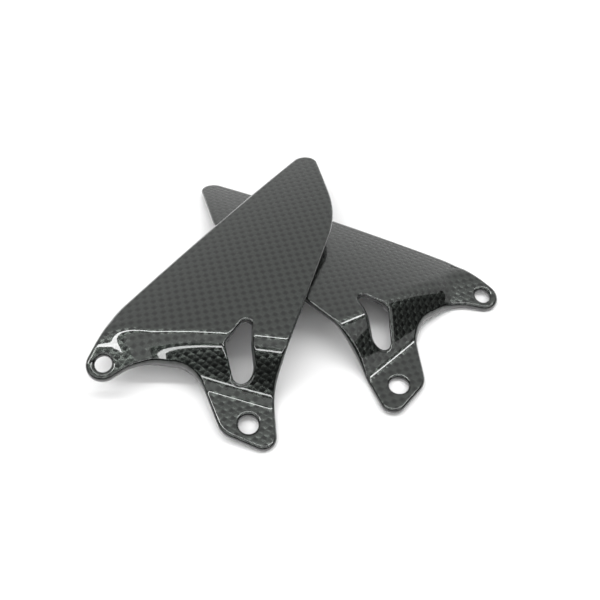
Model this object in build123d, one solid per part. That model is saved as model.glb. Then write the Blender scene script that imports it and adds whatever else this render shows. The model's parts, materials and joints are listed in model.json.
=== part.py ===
"""A mirrored pair of moulded carbon-fibre heel guards, one lying across the other.

Each guard is one thin cured laminate: a flat leg with a bolt hole, a steep step up to a
broad fin, and a small ear with a second bolt hole. It is built from its plies, face to back.

Guard frame, in mm: the origin lies beside the leg hole on the leg's flat face, +X runs to
the right of the left-hand guard, +Y towards the fin's tip, and +Z out of the face.
Assembly frame, in mm: +Z up, the floor at Z = 0, the origin under the middle of the pair.
"""

from build123d import *
import math
import os
import numpy as np

# Laminate, from the face to the back: (name, thickness)
face_ply_thickness = 0.25
core_ply_thickness = 0.75
back_ply_thickness = 0.25
plies = [
    ("face_ply", face_ply_thickness),
    ("outer_core_ply", core_ply_thickness),
    ("inner_core_ply", core_ply_thickness),
    ("back_ply", back_ply_thickness),
]
laminate_thickness = sum(thickness for _, thickness in plies)

# Bolt holes
leg_hole_diameter = 6.6
leg_hole_x = -0.5
ear_hole_diameter = 5.5
ear_hole_x = -48.5
ear_hole_y = 20.5
ear_radius = 5.6

# Fin outline: the bulge and the long edge's corner follow the tip's height and the ear
fin_tip_x = 27.3
fin_tip_y = 129.6
fin_tip_radius = 5.4
fin_bulge_x = 33.5
fin_bulge_share = 0.633
fin_bulge_radius = 55.0
above_ear_right = 1.4
above_ear_rise = 19.3
above_ear_radius = 30.0

# Arch between the ear and the leg
below_ear_right = 11.5
below_ear_rise = 1.3
below_ear_radius = 14.0
arch_x = -17.4
arch_y = 18.4
arch_radius = 14.0

# Leg outline
leg_side_x = 9.0
leg_toe_y = -11.4
leg_toe_radius = 4.5
leg_neck_inset = 1.0
leg_neck_y = 11.5
leg_neck_radius = 20.0
leg_left_x = -9.3
leg_left_y = -3.2
leg_left_radius = 8.0

# Slot through the step: its two side corners lie at multiples of its end radius from that end
slot_end_x = -2.8
slot_end_y = 16.9
slot_end_radius = 3.5
slot_top_x = 0.0
slot_top_y = 36.5
slot_top_radius = 2.1
slot_left_out = 1.743
slot_left_rise = 1.857
slot_left_radius = 1.6
slot_right_out = 0.686
slot_right_rise = 1.6
slot_right_radius = 10.0

# Face shape: the leg pad is flat, the step rises between two creases to the fin
fin_rise = 14.9
fin_reference_y = 18.5
fin_slope_x = 0.166
fin_slope_y = -0.07
fin_curve_length = 46.25
fin_curve_xx = -4.06
fin_curve_xy = 4.01
fin_curve_yy = -2.35
upper_crease_y = 26.4
upper_crease_slope = -0.163
lower_crease_y = 6.7
lower_crease_slope = -0.303
shortest_step = 4.0
ear_seat_height = 1.2
ear_seat_slope = 0.22
ear_seat_flat_radius = 6.0
ear_seat_blend = 12.0

# How the pair lies: turns about Z, X and Y in degrees, and the leg holes' places
lower_guard_turn = 24.4
upper_guard_turn = 3.4
upper_guard_pitch = 2.4
upper_guard_roll = 8.2
upper_to_lower_x = -49.4
upper_to_lower_y = -15.0
pair_clearance = 0.35
lower_rest_leg = (-15.2, 12.2)
lower_rest_ear = (-47.9, 14.9)
lower_rest_tip = (20.3, 120.9)
contact_sample_step = 2.0
contact_rounds = 12

# Working sizes of the construction
surface_step = 2.0
surface_margin = 6.0
surface_tolerance = 0.02
surface_degree = 3
slope_reach = 0.05
prism_depth = 60.0
drill_length_in_laminates = 6.0

ear_hole = (ear_hole_x, ear_hole_y)
leg_hole = (leg_hole_x, 0.0)


def smooth_step(amount):
    """Rise smoothly from 0 to 1 as amount goes from 0 to 1."""
    amount = np.clip(amount, 0.0, 1.0)
    return amount * amount * (3.0 - 2.0 * amount)


def face_height(x, y):
    """Height of the guard's face above the leg pad."""
    upper_crease = upper_crease_y + upper_crease_slope * x
    lower_crease = lower_crease_y + lower_crease_slope * x
    step_length = np.maximum(upper_crease - lower_crease, shortest_step)
    step = smooth_step((y - lower_crease) / step_length)
    across = x / fin_curve_length
    along = y / fin_curve_length - 1.0
    fin = fin_rise + fin_slope_x * x + fin_slope_y * (y - fin_reference_y)
    fin = fin + fin_curve_xx * across**2 + fin_curve_xy * across * along + fin_curve_yy * along**2
    from_ear_hole = np.hypot(x - ear_hole_x, y - ear_hole_y)
    seat_share = 1.0 - smooth_step((from_ear_hole - ear_seat_flat_radius) / ear_seat_blend)
    seat = ear_seat_height + ear_seat_slope * (y - ear_hole_y)
    return (1.0 - seat_share) * step * fin + seat_share * seat


def laminate_point(x, y, depth):
    """Point of the laminate under a plan position, at a depth measured square to the face."""
    rise_x = (face_height(x + slope_reach, y) - face_height(x - slope_reach, y)) / (2.0 * slope_reach)
    rise_y = (face_height(x, y + slope_reach) - face_height(x, y - slope_reach)) / (2.0 * slope_reach)
    height = face_height(x, y) - depth * np.sqrt(1.0 + rise_x**2 + rise_y**2)
    return np.array([x, y, height])


def boss_corner(centre, radius, before, after):
    """Corner whose fillet follows a round boss between its two neighbouring corners."""
    from_before = tangent_angle(centre, radius, before, 1.0)
    to_after = tangent_angle(centre, radius, after, -1.0)
    half_turn = ((to_after - from_before) % math.tau) / 2.0
    reach = radius / math.cos(half_turn)
    direction = from_before + half_turn
    return (centre[0] + reach * math.cos(direction), centre[1] + reach * math.sin(direction), radius)


def tangent_angle(centre, radius, corner, side):
    """Angle at which a line from a corner touches a circle, going anticlockwise round it."""
    across = corner[0] - centre[0]
    along = corner[1] - centre[1]
    opening = math.acos(radius / math.hypot(across, along))
    return math.atan2(along, across) + side * opening


def rounded_wire(corners):
    """Closed wire through (x, y, radius) corners, with each corner rounded."""
    points = [(x, y) for x, y, _ in corners]
    radii = [radius for _, _, radius in corners]
    return Wire(FilletPolyline(*points, radius=radii, close=True).edges())


above_ear = (ear_hole_x + above_ear_right, ear_hole_y + above_ear_rise)
below_ear = (ear_hole_x + below_ear_right, ear_hole_y + below_ear_rise)
outline_corners = [
    (leg_side_x, leg_toe_y, leg_toe_radius),
    (leg_side_x - leg_neck_inset, leg_neck_y, leg_neck_radius),
    (fin_bulge_x, fin_bulge_share * fin_tip_y, fin_bulge_radius),
    (fin_tip_x, fin_tip_y, fin_tip_radius),
    (*above_ear, above_ear_radius),
    boss_corner(ear_hole, ear_radius, above_ear, below_ear),
    (*below_ear, below_ear_radius),
    (arch_x, arch_y, arch_radius),
    (leg_left_x, leg_left_y, leg_left_radius),
]

slot_left = (slot_end_x - slot_left_out * slot_end_radius, slot_end_y + slot_left_rise * slot_end_radius)
slot_right = (slot_end_x + slot_right_out * slot_end_radius, slot_end_y + slot_right_rise * slot_end_radius)
slot_corners = [
    (slot_top_x, slot_top_y, slot_top_radius),
    (*slot_left, slot_left_radius),
    boss_corner((slot_end_x, slot_end_y), slot_end_radius, slot_left, slot_right),
    (*slot_right, slot_right_radius),
]


def plan_face():
    """The guard seen square to the leg pad, with its slot and holes cut out."""
    face = Face(rounded_wire(outline_corners))
    face = face - Face(rounded_wire(slot_corners))
    return face


def surface_grid():
    """Plan coordinates of a grid that covers the guard with room to spare."""
    xs = [x for x, _, _ in outline_corners]
    ys = [y for _, y, _ in outline_corners]
    columns = np.arange(min(xs) - surface_margin, max(xs) + surface_margin, surface_step)
    rows = np.arange(min(ys) - surface_margin, max(ys) + surface_margin, surface_step)
    return columns, rows


def laminate_surface(depth):
    """Smooth surface that lies at a depth below the face."""
    columns, rows = surface_grid()
    points = [[Vector(*laminate_point(x, y, depth)) for y in rows] for x in columns]
    return Face.make_surface_from_array_of_points(points, tol=surface_tolerance, min_deg=surface_degree)


def face_normal_plane(centre):
    """Plane square to the face at a plan position."""
    x, y = centre
    reach = slope_reach
    on_face = Vector(*laminate_point(x, y, 0.0))
    to_right = Vector(*laminate_point(x + reach, y, 0.0)) - Vector(*laminate_point(x - reach, y, 0.0))
    to_tip = Vector(*laminate_point(x, y + reach, 0.0)) - Vector(*laminate_point(x, y - reach, 0.0))
    return Plane(origin=on_face, x_dir=to_right, z_dir=to_right.cross(to_tip))


def bolt_hole(centre, diameter):
    """Cutter for a hole drilled square to the face."""
    drill_length = drill_length_in_laminates * laminate_thickness
    return face_normal_plane(centre) * Cylinder(diameter / 2.0, drill_length)


def guard_plies():
    """All plies of the left-hand guard, in the guard frame."""
    prism = extrude(Pos(0, 0, -prism_depth / 2.0) * plan_face(), prism_depth)
    prism = prism - bolt_hole(leg_hole, leg_hole_diameter) - bolt_hole(ear_hole, ear_hole_diameter)
    rest_of_prism = prism - extrude(laminate_surface(0.0), prism_depth, dir=(0, 0, 1))
    solids = {}
    depth = 0.0
    for name, thickness in plies:
        depth = depth + thickness
        lower_surface = laminate_surface(depth)
        ply = rest_of_prism - extrude(lower_surface, prism_depth, dir=(0, 0, -1))
        solids[name] = ply.solid()
        rest_of_prism = rest_of_prism - extrude(lower_surface, prism_depth, dir=(0, 0, 1))
    return solids


def turn_matrix(turn, pitch, roll):
    """Rotation by turn about Z, of pitch about X, of roll about Y, in degrees."""
    a, b, c = (math.radians(angle) for angle in (turn, pitch, roll))
    about_z = np.array([[math.cos(a), -math.sin(a), 0], [math.sin(a), math.cos(a), 0], [0, 0, 1]])
    about_x = np.array([[1, 0, 0], [0, math.cos(b), -math.sin(b)], [0, math.sin(b), math.cos(b)]])
    about_y = np.array([[math.cos(c), 0, math.sin(c)], [0, 1, 0], [-math.sin(c), 0, math.cos(c)]])
    return about_z @ about_x @ about_y


def resting_matrix(points):
    """Rotation that lays three points, taken anticlockwise from above, on a level floor."""
    first, second, third = points
    up = np.cross(second - first, third - first)
    up = up / np.linalg.norm(up)
    right = np.array([1.0, 0.0, 0.0]) - up[0] * up
    right = right / np.linalg.norm(right)
    return np.array([right, np.cross(up, right), up])


def plan_samples():
    """Plan positions spread over the guard and along its outline."""
    plan = plan_face()
    columns, rows = surface_grid()
    xs = np.arange(columns[0], columns[-1], contact_sample_step)
    ys = np.arange(rows[0], rows[-1], contact_sample_step)
    inner = [(x, y) for x in xs for y in ys if plan.is_inside(Vector(x, y, 0))]
    outline = rounded_wire(outline_corners)
    count = round(outline.length / contact_sample_step)
    rim = [outline.position_at(step / count) for step in range(count)]
    return np.array(inner + [(point.X, point.Y) for point in rim])


def mirrored(points):
    """The same points on the right-hand guard."""
    return points * np.array([-1.0, 1.0, 1.0])


def lower_guard_pose(samples):
    """Rotation and place of the lower guard, which lies on its leg, its ear and its fin's tip."""
    rests = [lower_rest_leg, lower_rest_ear, lower_rest_tip]
    feet = [mirrored(laminate_point(x, y, laminate_thickness)) for x, y in rests]
    matrix = turn_matrix(lower_guard_turn, 0.0, 0.0) @ resting_matrix(feet)
    back = mirrored(laminate_point(samples[:, 0], samples[:, 1], laminate_thickness).T)
    lowest = (back @ matrix.T)[:, 2].min()
    return matrix, np.array([0.0, 0.0, -lowest])


def height_over_lower_guard(points, lower_pose):
    """Height of world points over the lower guard's face, and their plan positions on it."""
    matrix, place = lower_pose
    drop = np.zeros(len(points))
    for _ in range(contact_rounds):
        on_face = points - np.outer(drop, [0.0, 0.0, 1.0])
        local = mirrored((on_face - place) @ matrix)
        drop = drop + (local[:, 2] - face_height(local[:, 0], local[:, 1])) / matrix[2, 2]
    return drop, local[:, :2]


def upper_guard_pose(samples, lower_pose):
    """Rotation and place of the upper guard, which lies on its leg and on the lower guard."""
    matrix = turn_matrix(upper_guard_turn, upper_guard_pitch, upper_guard_roll)
    place = np.array([upper_to_lower_x, upper_to_lower_y, 0.0])
    back = laminate_point(samples[:, 0], samples[:, 1], laminate_thickness).T @ matrix.T + place
    heights, plan_places = height_over_lower_guard(back, lower_pose)
    plan = plan_face()
    over = np.array([plan.is_inside(Vector(x, y, 0)) for x, y in plan_places])
    lift_off_floor = -back[:, 2].min()
    lift_off_lower = pair_clearance - heights[over].min()
    place[2] = max(lift_off_floor, lift_off_lower)
    return matrix, place


def pose_location(pose):
    """Location that moves a guard from its own frame to its place in the pair."""
    matrix, place = pose
    return Location(Plane(origin=tuple(place), x_dir=tuple(matrix[:, 0]), z_dir=tuple(matrix[:, 2])))


def build_pair():
    """Every ply of both guards in the assembly frame, and the move that centred the pair."""
    samples = plan_samples()
    lower_pose = lower_guard_pose(samples)
    upper_pose = upper_guard_pose(samples, lower_pose)
    left_hand = guard_plies()
    solids = {}
    for name, solid in left_hand.items():
        solids[f"upper_guard_{name}"] = solid.moved(pose_location(upper_pose))
        solids[f"lower_guard_{name}"] = solid.mirror(Plane.YZ).moved(pose_location(lower_pose))
    box = Compound(list(solids.values())).bounding_box()
    centring = Vector(-box.center().X, -box.center().Y, -box.min.Z)
    return {name: solid.moved(Location(centring)) for name, solid in solids.items()}, centring


def main():
    os.makedirs("parts", exist_ok=True)
    solids, centring = build_pair()
    print("centring", centring)
    for name, solid in solids.items():
        export_step(solid, f"parts/{name}.step")


if __name__ == "__main__":
    main()
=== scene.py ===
"""Looks of a mirrored pair of moulded carbon-fibre heel guards, one lying across the other.

Each guard is drawn ply by ply: closed meshes that share one smooth, rounded, sealed rim.
Shape sizes are in mm, in the guard frame: the origin lies beside the leg hole on the leg's
flat face, +X to the right of the left-hand guard, +Y towards the fin's tip, +Z out of the
face. Places of the camera, floor and lights are in metres, in the assembly frame.
"""

import json
import math

import bpy
import numpy as np
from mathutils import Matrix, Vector
from mathutils.geometry import delaunay_2d_cdt


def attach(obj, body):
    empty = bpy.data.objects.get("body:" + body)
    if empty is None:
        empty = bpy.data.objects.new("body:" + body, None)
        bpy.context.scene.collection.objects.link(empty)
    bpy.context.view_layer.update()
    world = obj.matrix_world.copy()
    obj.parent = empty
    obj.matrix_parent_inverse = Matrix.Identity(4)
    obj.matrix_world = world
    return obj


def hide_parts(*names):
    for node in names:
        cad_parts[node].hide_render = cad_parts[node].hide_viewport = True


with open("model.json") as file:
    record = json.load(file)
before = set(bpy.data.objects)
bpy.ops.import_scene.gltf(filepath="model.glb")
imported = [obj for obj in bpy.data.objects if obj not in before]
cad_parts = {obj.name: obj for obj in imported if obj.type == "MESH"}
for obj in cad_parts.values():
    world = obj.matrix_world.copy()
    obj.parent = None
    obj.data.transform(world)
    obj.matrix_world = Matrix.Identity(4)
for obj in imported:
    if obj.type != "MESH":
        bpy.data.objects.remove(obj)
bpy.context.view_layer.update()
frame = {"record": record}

MM = 0.001

# Laminate, from the face to the back: ply name, depth of its front, depth of its back
plies = [
    ("face_ply", 0.0, 0.25),
    ("outer_core_ply", 0.25, 1.0),
    ("inner_core_ply", 1.0, 1.75),
    ("back_ply", 1.75, 2.0),
]
laminate_thickness = plies[-1][2]

# Rounded rim, and how far the normals lean outwards just inside it, as under pooled coat
rim_radius = 0.8
rim_steps = 6
closest_rings = 0.01
coat_lean = math.radians(21.0)
coat_lean_width = 0.5

# Bolt holes
leg_hole = (-0.5, 0.0)
leg_hole_radius = 3.3
ear_hole = (-48.5, 20.5)
ear_hole_radius = 2.75
ear_radius = 5.6

# Outline corners: x, y and the radius that rounds them
leg_toe = (9.0, -11.4, 4.5)
leg_neck = (8.0, 11.5, 20.0)
fin_bulge = (33.5, 82.0, 55.0)
fin_tip = (27.3, 129.6, 5.4)
above_ear = (-47.1, 39.8, 30.0)
below_ear = (-37.0, 21.8, 14.0)
arch = (-17.4, 18.4, 14.0)
leg_left = (-9.3, -3.2, 8.0)

# Slot: its round end, and its other corners
slot_end = (-2.8, 16.9)
slot_end_radius = 3.5
slot_top = (0.0, 36.5, 2.1)
slot_left = (-8.9, 23.4, 1.6)
slot_right = (-0.4, 22.5, 10.0)

# Face shape
fin_rise = 14.9
fin_reference_y = 18.5
fin_slope_x = 0.166
fin_slope_y = -0.07
fin_curve_length = 46.25
fin_curve_xx = -4.06
fin_curve_xy = 4.01
fin_curve_yy = -2.35
upper_crease_y = 26.4
upper_crease_slope = -0.163
lower_crease_y = 6.7
lower_crease_slope = -0.303
shortest_step = 4.0
ear_seat_height = 1.2
ear_seat_slope = 0.22
ear_seat_flat_radius = 6.0
ear_seat_blend = 12.0
slope_reach = 0.05

# Mesh fineness
grid_step = 1.0
rim_clearance = 0.55
line_step = 1.0
arc_step = 0.35
same_point = 1e-7

# Cloth: its tows, and the rows along which its length is measured from the leg to the fin
tow_width = 2.0
tow_angle = math.radians(55.7)
cloth_start_y = -20.0
cloth_end_y = 130.0
cloth_row = 0.5

# Weave: wander in tow widths, fibre noise per tow width, and shares of height and shade
tow_wander = 0.22
tow_wander_scale = 0.35
fibres_across_tow = 24.0
fibres_along_tow = 2.0
fibre_height = 0.12
fibre_least_shade = 0.45
hump_breadth = 0.45

# Camera
camera_elevation = math.radians(51.6)
camera_distance = 0.2468
camera_target = (-0.0018, -0.0033, 0.0)
camera_lens = 38.96
camera_clip_start = 0.01

# Floor, and the surround's own light
floor_reach = 6.0
surround_light = 0.07

# Lights: name, azimuth and elevation in degrees, distance, width and height, brightness
soft_boxes = [
    ("back_panel", 0.0, 42.0, 2.0, 9.0, 3.0, 0.88),
    ("lamp_behind", 0.0, 84.0, 1.5, 3.0, 0.12, 19.0),
    ("lamp_in_front", 180.0, 42.0, 1.5, 4.0, 0.08, 13.0),
    ("ceiling", 180.0, 67.0, 1.55, 5.0, 1.0, 1.15),
]


# ---------------------------------------------------------------- shape

def smooth_step(amount):
    """Rise smoothly from 0 to 1 as amount goes from 0 to 1."""
    amount = np.clip(amount, 0.0, 1.0)
    return amount * amount * (3.0 - 2.0 * amount)


def face_height(x, y):
    """Height of the guard's face above the leg pad."""
    upper_crease = upper_crease_y + upper_crease_slope * x
    lower_crease = lower_crease_y + lower_crease_slope * x
    step_length = np.maximum(upper_crease - lower_crease, shortest_step)
    step = smooth_step((y - lower_crease) / step_length)
    across = x / fin_curve_length
    along = y / fin_curve_length - 1.0
    fin = fin_rise + fin_slope_x * x + fin_slope_y * (y - fin_reference_y)
    fin = fin + fin_curve_xx * across**2 + fin_curve_xy * across * along + fin_curve_yy * along**2
    from_ear_hole = np.hypot(x - ear_hole[0], y - ear_hole[1])
    seat_share = 1.0 - smooth_step((from_ear_hole - ear_seat_flat_radius) / ear_seat_blend)
    seat = ear_seat_height + ear_seat_slope * (y - ear_hole[1])
    return (1.0 - seat_share) * step * fin + seat_share * seat


def face_rise(x, y):
    """Slopes of the face along X and along Y."""
    right, left = face_height(x + slope_reach, y), face_height(x - slope_reach, y)
    ahead, back = face_height(x, y + slope_reach), face_height(x, y - slope_reach)
    return (right - left) / (2.0 * slope_reach), (ahead - back) / (2.0 * slope_reach)


def laminate_points(plan, depth):
    """Points under plan positions, at a depth measured square to the face."""
    x, y = plan[:, 0], plan[:, 1]
    rise_x, rise_y = face_rise(x, y)
    height = face_height(x, y) - depth * np.sqrt(1.0 + rise_x**2 + rise_y**2)
    return np.column_stack([x, y, height])


def face_normals(plan):
    """Unit normals of the face over plan positions."""
    rise_x, rise_y = face_rise(plan[:, 0], plan[:, 1])
    normals = np.column_stack([-rise_x, -rise_y, np.ones(len(plan))])
    return normals / np.linalg.norm(normals, axis=1)[:, None]


# ---------------------------------------------------------------- outline

def tangent_angle(centre, radius, corner, side):
    """Angle at which a line from a corner touches a circle, going anticlockwise round it."""
    across = corner[0] - centre[0]
    along = corner[1] - centre[1]
    opening = math.acos(radius / math.hypot(across, along))
    return math.atan2(along, across) + side * opening


def boss_corner(centre, radius, before, after):
    """Corner whose fillet follows a round boss between its two neighbouring corners."""
    from_before = tangent_angle(centre, radius, before, 1.0)
    to_after = tangent_angle(centre, radius, after, -1.0)
    half_turn = ((to_after - from_before) % math.tau) / 2.0
    reach = radius / math.cos(half_turn)
    direction = from_before + half_turn
    x = centre[0] + reach * math.cos(direction)
    y = centre[1] + reach * math.sin(direction)
    return (x, y, radius)


outline_corners = [
    leg_toe,
    leg_neck,
    fin_bulge,
    fin_tip,
    above_ear,
    boss_corner(ear_hole, ear_radius, above_ear, below_ear),
    below_ear,
    arch,
    leg_left,
]

slot_corners = [
    slot_top,
    slot_left,
    boss_corner(slot_end, slot_end_radius, slot_left, slot_right),
    slot_right,
]


def arc_points(centre, radius, start, sweep):
    """Points along an arc, both ends included."""
    count = max(2, math.ceil(abs(sweep) * radius / arc_step))
    angles = start + sweep * np.arange(count + 1) / count
    x = centre[0] + radius * np.cos(angles)
    y = centre[1] + radius * np.sin(angles)
    return np.column_stack([x, y])


def rounded_loop(corners):
    """Closed run of points through (x, y, radius) corners, with each corner rounded."""
    points = [np.array(corner[:2]) for corner in corners]
    stretches = []
    for index, (_, _, radius) in enumerate(corners):
        here = points[index]
        back = points[index - 1] - here
        ahead = points[(index + 1) % len(points)] - here
        back = back / np.linalg.norm(back)
        ahead = ahead / np.linalg.norm(ahead)
        half = math.acos(np.clip(back @ ahead, -1.0, 1.0)) / 2.0
        middle = (back + ahead) / np.linalg.norm(back + ahead)
        centre = here + middle * radius / math.sin(half)
        first = here + back * radius / math.tan(half) - centre
        last = here + ahead * radius / math.tan(half) - centre
        start = math.atan2(first[1], first[0])
        sweep = (math.atan2(last[1], last[0]) - start + math.pi) % math.tau - math.pi
        stretches.append(arc_points(centre, radius, start, sweep))
    loop = []
    for index, arc in enumerate(stretches):
        end = stretches[(index + 1) % len(stretches)][0]
        count = max(1, math.ceil(np.linalg.norm(end - arc[-1]) / line_step))
        shares = np.arange(1, count)[:, None] / count
        loop.append(arc)
        loop.append(arc[-1] + (end - arc[-1]) * shares)
    return np.vstack(loop)


def turns_left(loop):
    """Whether a closed loop goes round anticlockwise."""
    following = np.roll(loop, -1, axis=0)
    return np.sum(loop[:, 0] * following[:, 1] - loop[:, 1] * following[:, 0]) > 0.0


def outward_normals(loop, is_opening):
    """Plan normals of a closed loop that point out of the material."""
    along = np.roll(loop, -1, axis=0) - np.roll(loop, 1, axis=0)
    side = 1.0 if turns_left(loop) != is_opening else -1.0
    normals = np.column_stack([along[:, 1], -along[:, 0]]) * side
    return normals / np.linalg.norm(normals, axis=1)[:, None]


def drill_drift(centre):
    """Plan shift per mm of depth of a hole drilled square to the face."""
    rise_x, rise_y = face_rise(np.array([centre[0]]), np.array([centre[1]]))
    length = math.sqrt(1.0 + rise_x[0] ** 2 + rise_y[0] ** 2)
    return np.array([rise_x[0], rise_y[0]]) / length


def edge_loops():
    """The guard's edges: plan points, normals out of the material, and shift per mm of depth."""
    still = np.zeros(2)
    outline = rounded_loop(outline_corners)
    slot = rounded_loop(slot_corners)
    leg = arc_points(leg_hole, leg_hole_radius, 0.0, math.tau)[:-1]
    ear = arc_points(ear_hole, ear_hole_radius, 0.0, math.tau)[:-1]
    return [
        (outline, outward_normals(outline, False), still),
        (slot, outward_normals(slot, True), still),
        (leg, outward_normals(leg, True), drill_drift(leg_hole)),
        (ear, outward_normals(ear, True), drill_drift(ear_hole)),
    ]


def rim_angle(depth):
    """Turn of the rim's normal from the face at a depth: 0 at the face, half a turn at the back."""
    if depth < rim_radius:
        return math.acos((rim_radius - depth) / rim_radius)
    from_back = laminate_thickness - depth
    if from_back < rim_radius:
        return math.pi - math.acos((rim_radius - from_back) / rim_radius)
    return math.pi / 2.0


def rim_inset(depth):
    """How far the rounded rim lies inside the outline at a depth."""
    return rim_radius * (1.0 - math.sin(rim_angle(depth)))


def rim_depths(front, back):
    """Depths of the rim's rings between a ply's front and back."""
    turns = [math.pi / 2.0 * step / rim_steps for step in range(rim_steps + 1)]
    rounding = [rim_radius * (1.0 - math.cos(turn)) for turn in turns]
    rings = rounding + [laminate_thickness - depth for depth in rounding]
    inner = [depth for depth in rings if front + closest_rings < depth < back - closest_rings]
    return sorted([front, back] + inner)


# ---------------------------------------------------------------- mesh

def inside_loop(points, loop):
    """Which points lie inside a closed loop."""
    x, y = points[:, 0], points[:, 1]
    inside = np.zeros(len(points), bool)
    for start, end in zip(loop, np.roll(loop, -1, axis=0)):
        crosses = (start[1] > y) != (end[1] > y)
        if start[1] != end[1]:
            meeting = (end[0] - start[0]) * (y - start[1]) / (end[1] - start[1]) + start[0]
            inside ^= crosses & (x < meeting)
    return inside


def inside_guard(points, loops):
    """Which plan points lie on the guard's material."""
    on_guard = inside_loop(points, loops[0])
    for opening in loops[1:]:
        on_guard &= ~inside_loop(points, opening)
    return on_guard


def triangulate(edges):
    """Inner plan points and triangles over the inner points followed by every edge loop."""
    lean_reach = rim_radius + coat_lean_width
    grid_reach = lean_reach + rim_clearance
    rings = [loop - normal * rim_radius for loop, normal, _ in edges]
    inner_rings = [loop - normal * lean_reach for loop, normal, _ in edges]
    limits = [loop - normal * grid_reach for loop, normal, _ in edges]
    low, high = rings[0].min(axis=0), rings[0].max(axis=0)
    columns = np.arange(low[0], high[0], grid_step)
    rows = np.arange(low[1], high[1], grid_step)
    grid = np.array([(x, y) for x in columns for y in rows])
    grid = np.vstack([grid[inside_guard(grid, limits)]] + inner_rings)
    points = np.vstack([grid] + rings)
    segments = []
    start = len(grid)
    for ring in rings:
        count = len(ring)
        segments += [(start + step, start + (step + 1) % count) for step in range(count)]
        start += count
    flat = [Vector(point) for point in points]
    vertices, _, faces, _, _, _ = delaunay_2d_cdt(flat, segments, [], 0, same_point)
    if len(vertices) != len(points):
        raise ValueError("two points of the guard's plan coincide")
    triangles = np.array(faces)
    middles = points[triangles].mean(axis=1)
    triangles = triangles[inside_guard(middles, rings)]
    a, b, c = (points[triangles[:, corner]] for corner in range(3))
    ab, ac = b - a, c - a
    turn = ab[:, 0] * ac[:, 1] - ab[:, 1] * ac[:, 0]
    triangles[turn < 0] = triangles[turn < 0][:, ::-1]
    return grid, triangles


def ring_plan(edge, depth):
    """Plan points of one edge's rim at a depth."""
    loop, normal, drift = edge
    return loop - normal * rim_inset(depth) + drift * depth


def rim_normals(edge, plan, depth):
    """Normals of the rounded rim, which lean outwards already where it meets the face."""
    _, normal, _ = edge
    face = face_normals(plan)
    outward = np.column_stack([normal, np.zeros(len(normal))])
    outward = outward - face * np.sum(outward * face, axis=1)[:, None]
    outward = outward / np.linalg.norm(outward, axis=1)[:, None]
    level = math.pi / 2.0
    angle = level + (rim_angle(depth) - level) * (1.0 - coat_lean / level)
    return math.cos(angle) * face + math.sin(angle) * outward


def ply_geometry(edges, grid, triangles, front, back):
    """Points, faces and corner normals of one closed ply in the guard frame."""
    depths = rim_depths(front, back)
    last_level = len(depths) - 1
    points = [laminate_points(grid, front), laminate_points(grid, back)]
    first_ring = 2 * len(grid)
    starts = {}
    normals = {}
    count = first_ring
    for level, depth in enumerate(depths):
        for index, edge in enumerate(edges):
            plan = ring_plan(edge, depth)
            points.append(laminate_points(plan, depth))
            starts[level, index] = count
            normals[level, index] = rim_normals(edge, plan, depth)
            count += len(plan)
    points = np.vstack(points)

    ring_total = sum(len(edge[0]) for edge in edges)
    cap = np.arange(len(grid) + ring_total)
    front_map = np.where(cap < len(grid), cap, cap - len(grid) + first_ring)
    last_ring = first_ring + last_level * ring_total
    back_map = np.where(cap < len(grid), cap + len(grid), cap - len(grid) + last_ring)
    front_faces = front_map[triangles]
    back_faces = back_map[triangles[:, ::-1]]
    front_normals = face_normals(points[:, :2])
    back_normals = -front_normals
    shown_caps = []
    if front == 0.0:
        shown_caps.append((0, front_normals))
    if back == laminate_thickness:
        shown_caps.append((last_level, back_normals))
    for level, cap_normals in shown_caps:
        for index, (loop, _, _) in enumerate(edges):
            start = starts[level, index]
            cap_normals[start:start + len(loop)] = normals[level, index]
    face_list = [tuple(face) for face in front_faces] + [tuple(face) for face in back_faces]
    corner_normals = [front_normals[front_faces.ravel()], back_normals[back_faces.ravel()]]

    for level in range(last_level):
        for index, (loop, _, _) in enumerate(edges):
            here = np.arange(len(loop))
            there = (here + 1) % len(loop)
            if turns_left(loop) != (index == 0):
                here, there = there, here
            upper, lower = starts[level, index], starts[level + 1, index]
            quads = np.column_stack([upper + here, lower + here, lower + there, upper + there])
            face_list += [tuple(face) for face in quads]
            top, bottom = normals[level, index], normals[level + 1, index]
            corners = np.stack([top[here], bottom[here], bottom[there], top[there]], axis=1)
            corner_normals.append(corners.reshape(-1, 3))
    return points, face_list, np.vstack(corner_normals)


def cloth_coordinates(points):
    """Position on the cloth in tow widths, with the cloth's length followed down the step."""
    x = points[:, 0]
    lengths = np.zeros(len(points))
    for row in np.arange(cloth_start_y, cloth_end_y, cloth_row):
        covered = np.clip(points[:, 1] - row, 0.0, cloth_row)
        _, rise_y = face_rise(x, np.full(len(points), row + cloth_row / 2.0))
        lengths += covered * np.sqrt(1.0 + rise_y**2)
    cosine, sine = math.cos(tow_angle), math.sin(tow_angle)
    across = x * cosine + lengths * sine
    along = -x * sine + lengths * cosine
    return np.column_stack([across, along]) / tow_width


# ---------------------------------------------------------------- places

def hole_middle(centre):
    """Middle of a bolt hole, halfway through the laminate."""
    plan = np.array([centre])
    front = laminate_points(plan, 0.0)[0]
    back = laminate_points(plan, laminate_thickness)[0]
    return (front + back) / 2.0


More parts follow.
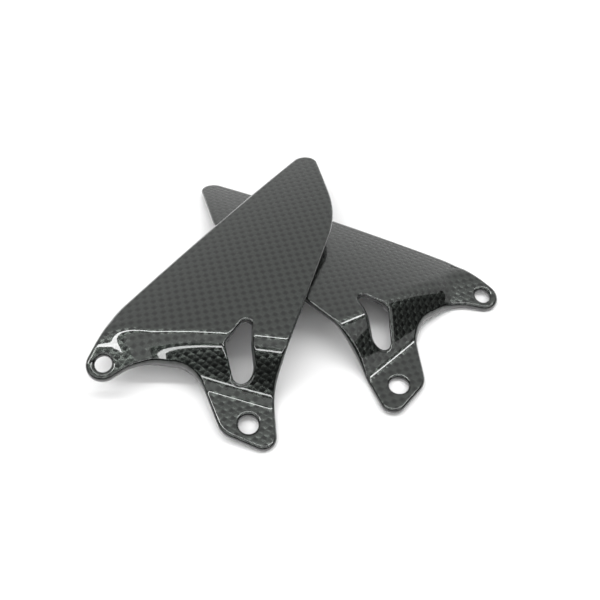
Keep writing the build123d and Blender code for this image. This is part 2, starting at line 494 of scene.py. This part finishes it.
def guard_place(guard, hand):
    """Rotation and shift in metres that put a guard's bolt holes where the frame has them."""
    mounts = {mount["name"]: mount for mount in frame["record"]["mounts"]}
    leg = mounts[f"{guard}_leg_hole"]
    ear = mounts[f"{guard}_ear_hole"]
    up = np.array(leg["axis"])
    up = up / np.linalg.norm(up)
    flip = np.array([hand, 1.0, 1.0])
    own_leg = hole_middle(leg_hole) * flip
    own_ear = hole_middle(ear_hole) * flip
    own_way = own_ear - own_leg
    own_angle = math.atan2(own_way[1], own_way[0])
    way = np.array(ear["pos_m"]) - np.array(leg["pos_m"])
    way = way - up * (way @ up)
    way = way / np.linalg.norm(way)
    side = np.cross(up, way)
    x_axis = way * math.cos(own_angle) - side * math.sin(own_angle)
    rotation = np.column_stack([x_axis, np.cross(up, x_axis), up])
    return rotation, np.array(leg["pos_m"]) - rotation @ own_leg * MM


# ---------------------------------------------------------------- materials

def new_material(name):
    """Empty node material with its output and shader."""
    material = bpy.data.materials.new(name)
    material.use_nodes = True
    nodes = material.node_tree.nodes
    nodes.clear()
    output = nodes.new("ShaderNodeOutputMaterial")
    shader = nodes.new("ShaderNodeBsdfPrincipled")
    material.node_tree.links.new(shader.outputs["BSDF"], output.inputs["Surface"])
    return material, nodes, material.node_tree.links, shader


def maths(nodes, links, operation, first, second=None):
    """Math node on two values, each a socket or a number."""
    node = nodes.new("ShaderNodeMath")
    node.operation = operation
    for value, socket in zip((first, second), node.inputs):
        if value is None:
            continue
        if isinstance(value, (int, float)):
            socket.default_value = value
        else:
            links.new(value, socket)
    return node.outputs[0]


def blend_colours(nodes, links, shader, share, dark, bright):
    """Base colour between a dark and a bright colour, by a share."""
    colour = nodes.new("ShaderNodeMix")
    colour.data_type = "RGBA"
    colour.inputs["A"].default_value = (*dark, 1.0)
    colour.inputs["B"].default_value = (*bright, 1.0)
    links.new(share, colour.inputs["Factor"])
    links.new(colour.outputs["Result"], shader.inputs["Base Color"])


def raise_surface(nodes, links, shader, height, depth, strength):
    """Bump that follows a height, with its depth in metres."""
    bump = nodes.new("ShaderNodeBump")
    bump.inputs["Distance"].default_value = depth
    bump.inputs["Strength"].default_value = strength
    links.new(height, bump.inputs["Height"])
    links.new(bump.outputs["Normal"], shader.inputs["Normal"])


def tow_hump(nodes, links, position):
    """Rounded height of a tow at a position counted in tow widths."""
    share = maths(nodes, links, "FRACT", position)
    return maths(nodes, links, "SINE", maths(nodes, links, "MULTIPLY", share, math.pi))


def weave_sockets(nodes, links):
    """Plain weave: place across and along the tows, 1 where the warp is on top, and tow height."""
    uv = nodes.new("ShaderNodeUVMap")
    uv.uv_map = "cloth"
    wander = nodes.new("ShaderNodeTexNoise")
    wander.inputs["Scale"].default_value = tow_wander_scale
    wander.inputs["Detail"].default_value = 1.0
    links.new(uv.outputs["UV"], wander.inputs["Vector"])
    shifted = nodes.new("ShaderNodeVectorMath")
    shifted.operation = "MULTIPLY_ADD"
    links.new(wander.outputs["Color"], shifted.inputs[0])
    shifted.inputs[1].default_value = (tow_wander, tow_wander, 0.0)
    links.new(uv.outputs["UV"], shifted.inputs[2])
    split = nodes.new("ShaderNodeSeparateXYZ")
    links.new(shifted.outputs[0], split.inputs[0])
    across, along = split.outputs["X"], split.outputs["Y"]
    column = maths(nodes, links, "FLOOR", across)
    row = maths(nodes, links, "FLOOR", along)
    cell = maths(nodes, links, "ABSOLUTE", maths(nodes, links, "ADD", column, row))
    warp = maths(nodes, links, "MODULO", cell, 2.0)
    hump_across = tow_hump(nodes, links, across)
    hump_along = tow_hump(nodes, links, along)
    hump = maths(nodes, links, "MULTIPLY", hump_across, hump_along)
    return across, along, warp, hump


def carbon_weave(name, coat, roughness, dark, bright, bump_depth):
    """Plain-weave carbon fibre, under a clear coat of a given weight."""
    material, nodes, links, shader = new_material(name)
    across, along, warp, hump = weave_sockets(nodes, links)

    fibres = nodes.new("ShaderNodeTexNoise")
    fibres.inputs["Scale"].default_value = 1.0
    fibres.inputs["Detail"].default_value = 2.0
    stretch = nodes.new("ShaderNodeCombineXYZ")
    turned = maths(nodes, links, "MULTIPLY", warp, fibres_across_tow - fibres_along_tow)
    stretch_across = maths(nodes, links, "ADD", turned, fibres_along_tow)
    stretch_along = maths(nodes, links, "SUBTRACT", fibres_across_tow, turned)
    links.new(maths(nodes, links, "MULTIPLY", across, stretch_across), stretch.inputs[0])
    links.new(maths(nodes, links, "MULTIPLY", along, stretch_along), stretch.inputs[1])
    links.new(stretch.outputs[0], fibres.inputs["Vector"])

    broad_hump = maths(nodes, links, "POWER", hump, hump_breadth)
    dark_dots = maths(nodes, links, "MULTIPLY", warp, broad_hump)
    around_dots = maths(nodes, links, "SUBTRACT", 1.0, dark_dots)
    fibre_shade = maths(nodes, links, "ADD", fibres.outputs["Fac"], fibre_least_shade)
    shade = maths(nodes, links, "MULTIPLY", around_dots, fibre_shade)
    blend_colours(nodes, links, shader, shade, dark, bright)

    fibre_relief = maths(nodes, links, "MULTIPLY", fibres.outputs["Fac"], fibre_height)
    height = maths(nodes, links, "ADD", hump, fibre_relief)
    raise_surface(nodes, links, shader, height, bump_depth, 1.0)

    shader.inputs["Roughness"].default_value = roughness
    shader.inputs["Metallic"].default_value = 1.0
    shader.inputs["Coat Weight"].default_value = coat
    shader.inputs["Coat Roughness"].default_value = 0.03
    shader.inputs["Coat IOR"].default_value = 1.5
    return material


def sealed_edge(name):
    """Trimmed laminate edge, sealed with clear coat."""
    material, nodes, links, shader = new_material(name)
    place = nodes.new("ShaderNodeTexCoord")
    grain = nodes.new("ShaderNodeTexNoise")
    grain.inputs["Scale"].default_value = 900.0
    grain.inputs["Detail"].default_value = 3.0
    links.new(place.outputs["Object"], grain.inputs["Vector"])
    dark, bright = (0.006, 0.006, 0.0065), (0.02, 0.02, 0.021)
    blend_colours(nodes, links, shader, grain.outputs["Fac"], dark, bright)
    raise_surface(nodes, links, shader, grain.outputs["Fac"], depth=0.00003, strength=0.5)
    shader.inputs["Roughness"].default_value = 0.35
    shader.inputs["Coat Weight"].default_value = 1.0
    shader.inputs["Coat Roughness"].default_value = 0.05
    return material


# ---------------------------------------------------------------- pieces

def make_piece(name, geometry, cloth, place, hand, material):
    """Blender object of one ply, placed in the assembly frame."""
    points, faces, corner_normals = geometry
    rotation, shift = place
    flip = np.array([hand, 1.0, 1.0])
    world = (points * flip) @ rotation.T * MM + shift
    normals = (corner_normals * flip) @ rotation.T
    mesh = bpy.data.meshes.new(name)
    if hand < 0:
        faces = [tuple(reversed(face)) for face in faces]
        sizes = [len(face) for face in faces]
        ends = np.cumsum(sizes)
        turned = [np.arange(end - size, end)[::-1] for size, end in zip(sizes, ends)]
        normals = normals[np.concatenate(turned)]
    mesh.from_pydata(world.tolist(), [], faces)
    mesh.update()
    layer = mesh.uv_layers.new(name="cloth")
    corners = np.empty(len(mesh.loops), dtype=np.int32)
    mesh.loops.foreach_get("vertex_index", corners)
    layer.data.foreach_set("uv", cloth[corners].astype(np.float32).ravel())
    mesh.polygons.foreach_set("use_smooth", np.ones(len(mesh.polygons), dtype=bool))
    mesh.normals_split_custom_set(normals.tolist())
    mesh.materials.append(material)
    piece = bpy.data.objects.new(name, mesh)
    bpy.context.scene.collection.objects.link(piece)
    return piece


def ply_materials():
    """Material of each ply."""
    coated_weave = carbon_weave(
        "clear_coated_weave",
        coat=1.0,
        roughness=0.27,
        dark=(0.013, 0.0145, 0.0135),
        bright=(0.040, 0.0450, 0.041),
        bump_depth=0.00007,
    )
    cured_edge = sealed_edge("cured_edge")
    bare_weave = carbon_weave(
        "bare_weave",
        coat=0.2,
        roughness=0.5,
        dark=(0.012, 0.012, 0.012),
        bright=(0.08, 0.08, 0.081),
        bump_depth=0.00010,
    )
    return {
        "face_ply": coated_weave,
        "outer_core_ply": cured_edge,
        "inner_core_ply": cured_edge,
        "back_ply": bare_weave,
    }


def make_guards():
    """Every ply of both guards, each riding on its guard's body and standing for its CAD node."""
    materials = ply_materials()
    edges = edge_loops()
    grid, triangles = triangulate(edges)
    hands = {"lower": -1.0, "upper": 1.0}
    places = {guard: guard_place(guard, hand) for guard, hand in hands.items()}
    for ply, front, back in plies:
        geometry = ply_geometry(edges, grid, triangles, front, back)
        cloth = cloth_coordinates(geometry[0])
        for guard, hand in hands.items():
            name = f"{guard}_guard_{ply}"
            piece = make_piece(f"{name}_skin", geometry, cloth, places[guard], hand, materials[ply])
            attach(piece, f"{guard}_guard")
            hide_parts(name)


# ---------------------------------------------------------------- studio

def point_at(thing, target):
    """Turn a camera or light so that it looks at a point."""
    thing.rotation_euler = (Vector(target) - thing.location).to_track_quat("-Z", "Y").to_euler()


def make_camera():
    """Camera looking down at the pair from its front."""
    data = bpy.data.cameras.new("camera")
    data.lens = camera_lens
    data.clip_start = camera_clip_start
    camera = bpy.data.objects.new("camera", data)
    direction = Vector((0.0, -math.cos(camera_elevation), math.sin(camera_elevation)))
    camera.location = Vector(camera_target) + direction * camera_distance
    bpy.context.scene.collection.objects.link(camera)
    point_at(camera, camera_target)
    bpy.context.scene.camera = camera


def make_floor():
    """Large pale floor under the pair."""
    signs = [(-1.0, -1.0), (1.0, -1.0), (1.0, 1.0), (-1.0, 1.0)]
    corners = [(x * floor_reach, y * floor_reach, 0.0) for x, y in signs]
    mesh = bpy.data.meshes.new("floor")
    mesh.from_pydata(corners, [], [(0, 1, 2, 3)])
    floor = bpy.data.objects.new("floor", mesh)
    bpy.context.scene.collection.objects.link(floor)
    material, _, _, shader = new_material("floor_paper")
    shader.inputs["Base Color"].default_value = (0.82, 0.82, 0.82, 1.0)
    shader.inputs["Roughness"].default_value = 0.8
    shader.inputs["Specular IOR Level"].default_value = 0.2
    mesh.materials.append(material)


def soft_box(name, azimuth, elevation, distance, width, height, brightness):
    """Rectangular soft light aimed at the pair; azimuth 0 is behind it, 90 to its right."""
    turn, lift = math.radians(azimuth), math.radians(elevation)
    data = bpy.data.lights.new(name, "AREA")
    data.shape = "RECTANGLE"
    data.size = width
    data.size_y = height
    data.energy = brightness * math.pi * width * height
    light = bpy.data.objects.new(name, data)
    level = math.cos(lift)
    direction = Vector((math.sin(turn) * level, math.cos(turn) * level, math.sin(lift)))
    light.location = direction * distance
    bpy.context.scene.collection.objects.link(light)
    point_at(light, (0.0, 0.0, 0.0))


def make_studio():
    """Surround that looks white but lights dimly, and the soft boxes."""
    world = bpy.data.worlds.new("studio")
    bpy.context.scene.world = world
    world.use_nodes = True
    nodes, links = world.node_tree.nodes, world.node_tree.links
    background = nodes["Background"]
    background.inputs["Color"].default_value = (1.0, 1.0, 1.0, 1.0)
    path = nodes.new("ShaderNodeLightPath")
    strength = maths(nodes, links, "ADD", path.outputs["Is Camera Ray"], surround_light)
    links.new(strength, background.inputs["Strength"])
    for box in soft_boxes:
        soft_box(*box)
    bpy.context.scene.view_settings.view_transform = "Standard"


make_camera()
make_guards()
make_floor()
make_studio()
